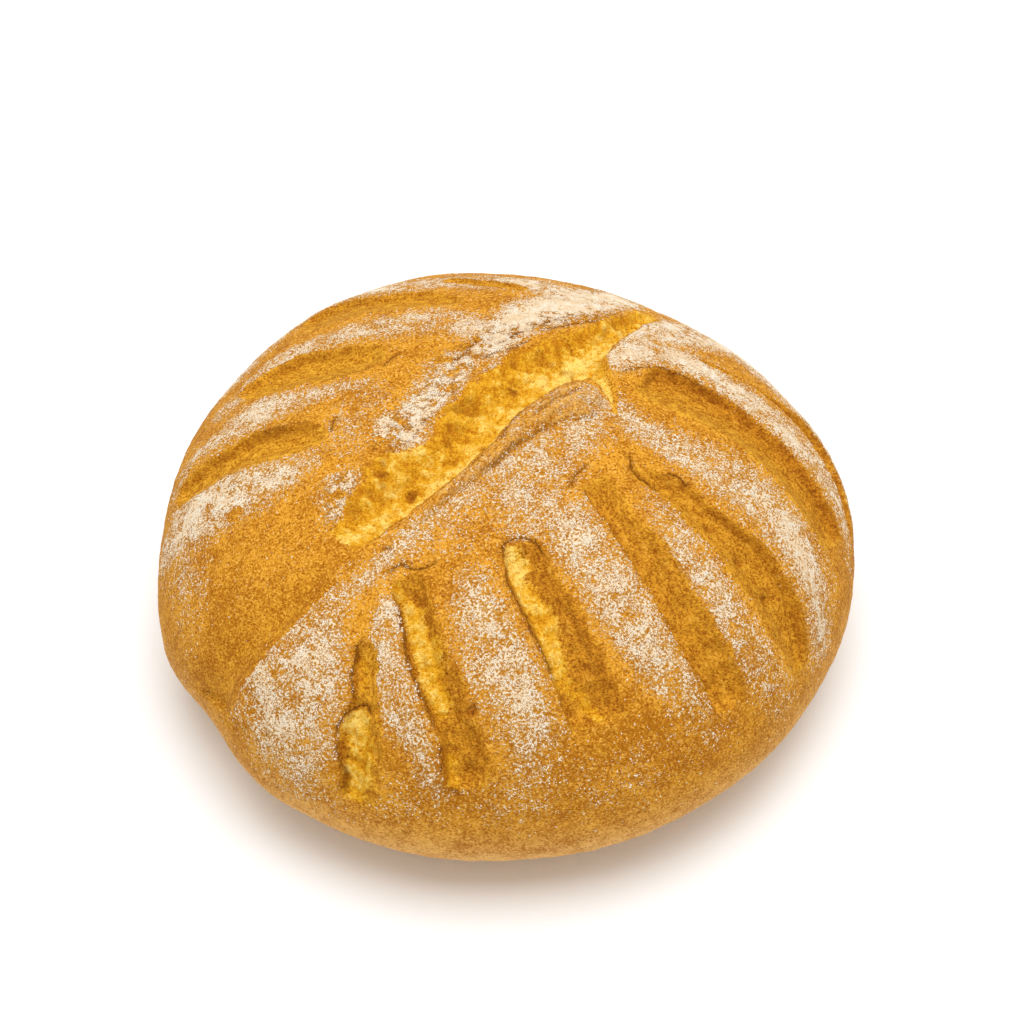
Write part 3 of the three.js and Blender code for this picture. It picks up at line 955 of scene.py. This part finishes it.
def crustFinish():
    made = Finish("crustFinish")
    place = made.node("ShaderNodeTexCoord", {}, {}, "Object")
    crumb, pale, bare, brown, toast, dark, flour, lace, crack, gap, across, along = (
        made.attribute(name) for name in carried)
    patch = made.grain(place, crustLook["patch"], 3.0)
    blotch = made.grain(place, crustLook["blotch"], 2.0)
    # the finest grain lies in level lines
    lying = made.node("ShaderNodeVectorMath", {"operation": "MULTIPLY"}, {0: place, 1: (0.7, 0.7, 1.9)})
    mottle = made.grain(place, crustLook["mottle"], 3.0, 0.65)
    pepper = made.grain(lying, crustLook["pepper"], 2.0, 0.6)
    speck = made.grain(place, crustLook["speck"], 2.0, 0.6)
    worm = 1 - abs(made.grain(place, crustLook["worm"], 1.0) - 0.5) * 5
    height = made.node("ShaderNodeSeparateXYZ", {}, {"Vector": place}, "Z")
    # the rim is paler, partly its own colour and partly painted light lifting flanks the lamp reaches
    # less; the lowest crust gets more painted light
    rim = 1 - made.between(height, *crustLook["rimHeights"])
    low = 1 - made.between(height, *crustLook["lowHeights"])
    # strands run along the openings and the roll
    strandPlace = made.node("ShaderNodeCombineXYZ", {}, {
        0: across / crustLook["strandAcross"] + blotch * 1.2, 1: along / crustLook["strandAlong"]})
    strands = made.grain(strandPlace, 1.0, 3.0, 0.6)
    fleck = mottle * 0.5 + pepper * 0.5
    tone = made.between(fleck * 0.7 + blotch * 0.14 + patch * 0.16 - brown * 0.06, 0.42, 0.58)
    floorTone = made.between(strands * 0.25 + fleck * 0.6 + blotch * 0.15, 0.4, 0.6)
    skinColour = made.over(
        made.blend(tone, crustLook["deepCrust"], crustLook["goldCrust"]),
        (rim * 0.9, made.blend(tone, crustLook["deepRim"], crustLook["paleRim"])),
        (low * 0.5, crustLook["lowPaintedLight"]),
        (made.between(fleck, 0.56, 0.64) * 0.6, crustLook["paleFleck"]),
        ((1 - made.between(fleck, 0.37, 0.45)) * 0.6, crustLook["darkFleck"]))
    floorColour = made.over(
        made.blend(floorTone, crustLook["deepFloor"], crustLook["goldFloor"]),
        (made.between(brown + (blotch - 0.5) * 0.6, 0.0, 1.0),
         made.blend(floorTone, crustLook["deepBaked"], crustLook["goldBaked"])),
        (made.between(strands + fleck, 1.12, 1.3) * 0.6, crustLook["paleStreak"]),
        ((1 - made.between(fleck, 0.38, 0.45)) * 0.5, crustLook["darkFleck"]))
    # crumb goes from brown over gold to pale yellow
    crumbTone = pale * 0.9 + (fleck - 0.5) * 2.6 + (blotch - 0.5) * 0.8 + 0.14
    rips = 1 - made.between(abs(made.grain(place, crustLook["rip"], 3.0, 0.6) - 0.5), 0.004, 0.035)
    crumbColour = made.over(
        made.blend(made.between(crumbTone, -0.05, 0.4), crustLook["deepCrumb"], crustLook["goldCrumb"]),
        (made.between(crumbTone, 0.35, 1.05), crustLook["paleCrumb"]),
        ((1 - made.between(fleck, 0.37, 0.43)) * 0.6, crustLook["deepFloor"]),
        (rips * 0.42, crustLook["deepCrumb"]))
    toastTone = made.between(strands * 0.35 + fleck * 0.65, 0.41, 0.59)
    # painted shade: thin dark lines in the creases between the roll's ridges
    creaseShade = 1 - made.between(abs(strands - 0.47), 0.004, 0.022)
    toastColour = made.over(
        made.blend(toastTone, crustLook["toasted"], crustLook["toastEdge"]),
        (creaseShade * 0.22, crustLook["crackDark"]))
    # painted shade at the banks' feet, in pits, on the roll's sides and along cracks, and the crumb's
    # brown bits, share this brown
    hollow = made.blend(made.between(fleck, 0.4, 0.6), crustLook["deepShadeBrown"], crustLook["lightShadeBrown"])
    ragged = (mottle - 0.5) * 1.2 + (blotch - 0.5) * 0.8
    base = made.over(
        skinColour,
        (made.between(bare + ragged, 0.25, 0.75), floorColour),
        (made.between(crumb + ragged, 0.3, 0.7), crumbColour),
        (made.between(toast + ragged, 0.2, 0.9), toastColour),
        (dark * made.between(fleck + blotch, 0.74, 1.0), hollow),
        (made.between(flour, 0.15, 0.6) * 0.55, crustLook["gapShade"]))
    # the dust's lace: a net of dark seams
    dot = {"operation": "DOT_PRODUCT"}
    sideways = made.node("ShaderNodeVectorMath", dot, {0: place, 1: (1, -1, 0)}, "Value")
    lengthways = made.node("ShaderNodeVectorMath", dot, {0: place, 1: (1, 1, 0)}, "Value")
    lacePlace = made.node("ShaderNodeCombineXYZ", {}, {
        0: sideways / crustLook["laceAcross"] + speck * 1.6,
        1: lengthways / crustLook["laceAlong"] + mottle * 1.6})
    net = made.node("ShaderNodeTexVoronoi", {"feature": "DISTANCE_TO_EDGE"},
                    {"Vector": lacePlace, "Scale": 1.0}, "Distance")
    seams = made.between(lace, 0.3, 0.8) * (1 - made.between(net, 0.03, 0.15))
    seams = seams * made.between(blotch, 0.4, 0.55)
    # flour: white specks and worms wherever their noise tops a level that thicker dust lowers
    level = speck * 0.85 + worm * 0.06 + flour * 0.33
    film = made.between(level, 0.55, 0.66) * made.between(flour, 0.03, 0.2) * crustLook["filmCover"]
    dusted = made.between(level + lace * 0.03, 0.652, 0.702) * made.between(flour, 0.02, 0.12)
    dusted = dusted * (1 - seams) * crustLook["flourCover"]
    # a crack is painted as a thin dark line of painted shadow in a soft painted brown shade
    fromCrack = abs(gap + (speck - 0.5) * 1.6 + (mottle - 0.5) * 0.8)
    shade = crack * (1 - made.between(fromCrack, 0.1, crustLook["crackShade"]))
    thin = fromCrack + (1 - made.between(blotch, 0.35, 0.55)) * 0.25
    line = crack * (1 - made.between(thin, 0.3 * crustLook["crackWidth"], 1.3 * crustLook["crackWidth"]))
    made.wear("Base Color", made.over(
        base,
        (film, crustLook["flourFilm"]),
        (dusted, crustLook["flourWhite"]),
        (seams * 0.55, crustLook["crackDark"]),
        (shade * 0.6, hollow),
        (line * 0.75, crustLook["crackDark"])))
    made.wear("Roughness", crustLook["roughness"])
    made.wear("Specular IOR Level", crustLook["gloss"])
    bumps = mottle * 0.4 + pepper * 0.4 + speck * 0.3 + strands * bare * 0.4
    bumps = bumps + blotch * crumb * 0.6 + dusted * 0.35 - line * 0.8
    made.wear("Normal", made.node("ShaderNodeBump", {}, {
        "Height": bumps, "Distance": crustLook["bumpDepth"], "Strength": crustLook["bumpStrength"]}))
    return made.material


loaf.data.materials.append(crustFinish())
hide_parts("loaf")
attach(loaf, "root")
print("crust finish done")

# Loose flour: fine dust of four-sided grains, and clumps of eight sides. Sizes are millimetres.
flourGrains = {
    "flourDust": {
        "count": 45000, "size": (0.16, 0.3), "stretch": (1.0, 1.8), "height": 0.7, "clumping": (-0.5, 0.3),
        "tips": [(1, 0, 0), (-0.5, 0.87, 0), (-0.5, -0.87, 0), (0, 0, 1)],
        "sides": [(0, 1, 3), (1, 2, 3), (2, 0, 3), (0, 2, 1)],
    },
    "flourClumps": {
        "count": 20000, "size": (0.2, 0.34), "stretch": (1.0, 2.2), "height": 0.6, "clumping": (-0.3, 0.3),
        "tips": [(1, 0, 0), (0, 1, 0), (-1, 0, 0), (0, -1, 0), (0, 0, 1), (0, 0, -0.6)],
        "sides": [(0, 1, 4), (1, 2, 4), (2, 3, 4), (3, 0, 4), (1, 0, 5), (2, 1, 5), (3, 2, 5), (0, 3, 5)],
    },
}
flourLook = {
    "deepFlour": colour(250, 222, 182),
    "whiteFlour": colour(255, 242, 220),
    "patch": 0.004,
    "roughness": 0.95,
    "gloss": 0.05,
    "jitter": 0.35,  # how far the tips of a grain stray
}


def flourFinish():
    made = Finish("flourFinish")
    place = made.node("ShaderNodeTexCoord", {}, {}, "Object")
    tone = made.between(made.grain(place, flourLook["patch"]), 0.35, 0.65)
    made.wear("Base Color", made.blend(tone, flourLook["deepFlour"], flourLook["whiteFlour"]))
    made.wear("Roughness", flourLook["roughness"])
    made.wear("Specular IOR Level", flourLook["gloss"])
    return made.material


# Grains lie where the dust is thick, each turned its own way on the crust
def scatterFlour(name, kind, material):
    side = grid["cells"] + 1
    index = np.arange(count).reshape(side, side)
    corner, right, up = index[:-1, :-1].ravel(), index[1:, :-1].ravel(), index[:-1, 1:].ravel()
    edgeRight, edgeUp = shape[right] - shape[corner], shape[up] - shape[corner]
    normal = np.cross(edgeRight, edgeUp)
    area = np.linalg.norm(normal, axis=1)
    low, high = kind["clumping"]
    weight = skin["flour"][corner] ** 2 * area * ease(clumps[corner], low, high)
    grains = kind["count"]
    spots = random.choice(len(corner), grains, p=weight / weight.sum())
    inRight, inUp = random.random((2, grains, 1))
    centre = shape[corner[spots]] + inRight * edgeRight[spots] + inUp * edgeUp[spots]
    outward = normal[spots] / area[spots, None]
    outward *= np.where(outward @ [0, 0, 1] < -0.9, -1, 1)[:, None]
    turn = (random.random(grains) * 2 * math.pi)[:, None]
    first = np.cross(outward, [0.3, 0.5, 0.81])
    first /= np.linalg.norm(first, axis=1)[:, None]
    second = np.cross(outward, first)
    first, second = (first * np.cos(turn) + second * np.sin(turn),
                     second * np.cos(turn) - first * np.sin(turn))
    size = random.uniform(*kind["size"], grains)[:, None] * mm
    stretch = random.uniform(*kind["stretch"], grains)[:, None]
    tips = np.array(kind["tips"], float)
    jitter = 1 + flourLook["jitter"] * (random.random((grains, len(tips), 1)) - 0.5)
    offsets = (first[:, None] * tips[:, 0, None] * (size * stretch)[:, None]
               + second[:, None] * tips[:, 1, None] * size[:, None]
               + outward[:, None] * tips[:, 2, None] * (size * kind["height"])[:, None]) * jitter
    vertices = (centre[:, None] + offsets).reshape(-1, 3)
    corners = (np.arange(grains)[:, None, None] * len(tips) + np.array(kind["sides"])).reshape(-1)
    faces = len(corners) // 3
    mesh = meshFrom(name, vertices, corners, np.arange(faces) * 3)
    # every grain has its crust place's spot in the map
    spread = (crust["spots"][corner[spots]] + 1)[:, None] * bakeMap["grains"]
    spread = spread + bakeMap["grain"] * tips[None, :, :2] + bakeMap["margin"]
    mesh.uv_layers.new(name="OFBake").data.foreach_set("uv", spread.reshape(-1, 2)[corners].ravel())
    mesh.materials.append(material)
    flour = put(name, mesh)
    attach(flour, "root")
    print(name, grains, "grains,", faces, "faces")


clumps = ripple(crust["points"], 1.6, 12)
flourMaterial = flourFinish()
for name, kind in flourGrains.items():
    scatterFlour(name, kind, flourMaterial)

# Floor, light and camera
stageLook = {
    "floorSize": 8.0,
    "floorWhite": (0.93, 0.95, 0.96, 1),
    "floorRoughness": 0.9,
    "skyStrength": 0.66,
    "keyStrength": 21.6,
    "keySize": 1.3,
    "keyPlace": (0.05, 0.0, 1.6),
}


def makeStage():
    mesh = bpy.data.meshes.new("floor")
    half = stageLook["floorSize"] / 2
    corners = [(-half, -half, 0), (half, -half, 0), (half, half, 0), (-half, half, 0)]
    mesh.from_pydata(corners, [], [(0, 1, 2, 3)])
    floor = put("floor", mesh)
    paper = Finish("floorFinish")
    paper.wear("Base Color", stageLook["floorWhite"])
    paper.wear("Roughness", stageLook["floorRoughness"])
    paper.wear("Specular IOR Level", 0.0)
    mesh.materials.append(paper.material)

    world = bpy.data.worlds.new("studio")
    bpy.context.scene.world = world
    world.use_nodes = True
    sky = world.node_tree.nodes["Background"]
    sky.inputs["Color"].default_value = (1, 1, 1, 1)
    sky.inputs["Strength"].default_value = stageLook["skyStrength"]

    light = bpy.data.lights.new("key", "AREA")
    light.energy = stageLook["keyStrength"]
    light.size = stageLook["keySize"]
    key = put("key", light)
    key.location = stageLook["keyPlace"]
    key.rotation_euler = (-Vector(stageLook["keyPlace"])).to_track_quat("-Z", "Y").to_euler()


def makeCamera():
    right, up, back, aim = cameraAxes()
    lens = bpy.data.cameras.new("camera")
    lens.sensor_width = look["sensor"]
    lens.lens = look["lens"]
    camera = put("camera", lens)
    turn = Matrix((right, up, back)).transposed().to_4x4()
    camera.matrix_world = Matrix.Translation(Vector((aim + back * look["distance"]) * mm)) @ turn
    bpy.context.scene.camera = camera


makeStage()
makeCamera()
bpy.context.scene.view_settings.view_transform = "Standard"
